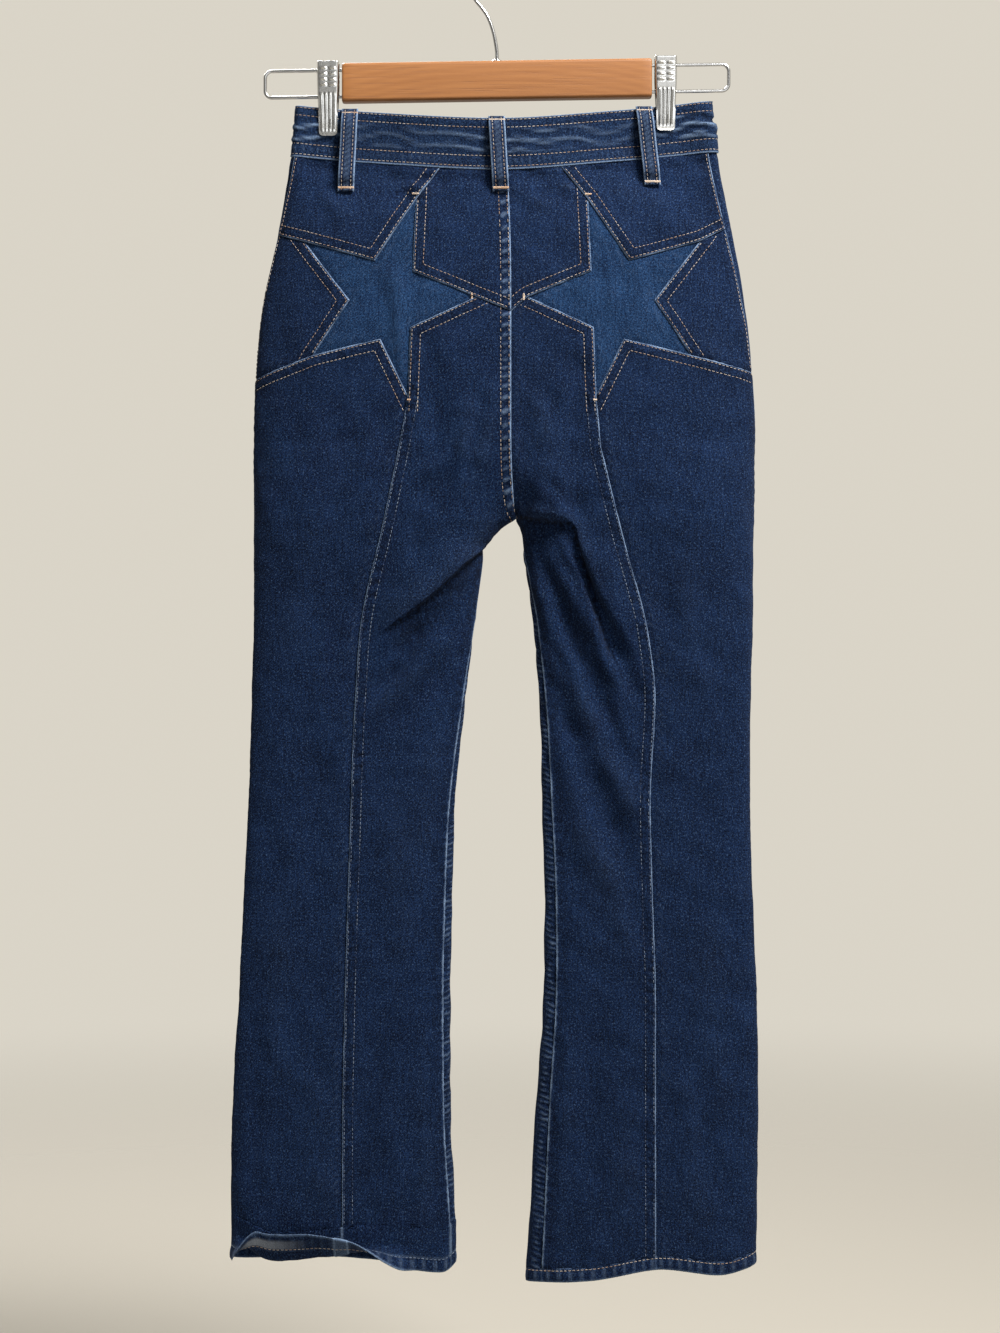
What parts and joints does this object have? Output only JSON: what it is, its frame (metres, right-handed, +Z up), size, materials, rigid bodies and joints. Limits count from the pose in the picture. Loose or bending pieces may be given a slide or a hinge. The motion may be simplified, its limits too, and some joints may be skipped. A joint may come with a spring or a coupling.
{
  "type": "flared jeans on a clip hanger",
  "caption": "Dark denim flared jeans with lighter star insets on the seat, hung by the waistband from a wooden bar hanger with metal clips.",
  "frame": {"origin": "inner crest of the hanger's hook, where it hangs on a rail", "axes": "+Z up, -Y towards the back of the jeans, +X to the right when the back of the jeans is looked at"},
  "size_m": [0.4485, 0.0623, 1.124],
  "materials": {
    "denim": "dark indigo stretch denim, matt, with worn seam ridges",
    "star_denim": "lighter blue denim, matt",
    "band_denim": "dark indigo denim, a little worn",
    "loop_denim": "dark indigo denim with worn edges",
    "thread_tan": "tan topstitching",
    "thread_navy": "navy topstitching with pale wear",
    "wood": "honey-coloured, satin varnish",
    "clip_steel": "bright nickel plate",
    "wire_steel": "bright nickel plate",
    "button_metal": "plain aged brass"
  },
  "bodies": {
    "root": {"back_leg_inner_left": "denim", "back_leg_inner_right": "denim", "back_leg_outer_left": "denim", "back_leg_outer_right": "denim", "back_side_gore_left": "denim", "back_side_gore_right": "denim", "back_upper_centre_left": "denim", "back_upper_centre_right": "denim", "back_upper_side_left": "denim", "back_upper_side_right": "denim", "belt_loop_back_centre": "loop_denim", "belt_loop_back_left": "loop_denim", "belt_loop_back_right": "loop_denim", "belt_loop_front_left": "loop_denim", "belt_loop_front_right": "loop_denim", "clip_left_back": "clip_steel", "clip_left_front": "clip_steel", "clip_left_saddle": "clip_steel", "clip_right_back": "clip_steel", "clip_right_front": "clip_steel", "clip_right_saddle": "clip_steel", "fly": "denim", "front_leg_left": "denim", "front_leg_right": "denim", "hanger_bar": "wood", "hanger_hook": "wire_steel", "hem_left": "denim", "hem_right": "denim", "rod_left": "wire_steel", "rod_right": "wire_steel", "star_left": "star_denim", "star_right": "star_denim", "waist_button": "button_metal", "waistband_back": "band_denim", "waistband_front_left": "band_denim", "waistband_front_right": "band_denim"}
  },
  "joints": []
}
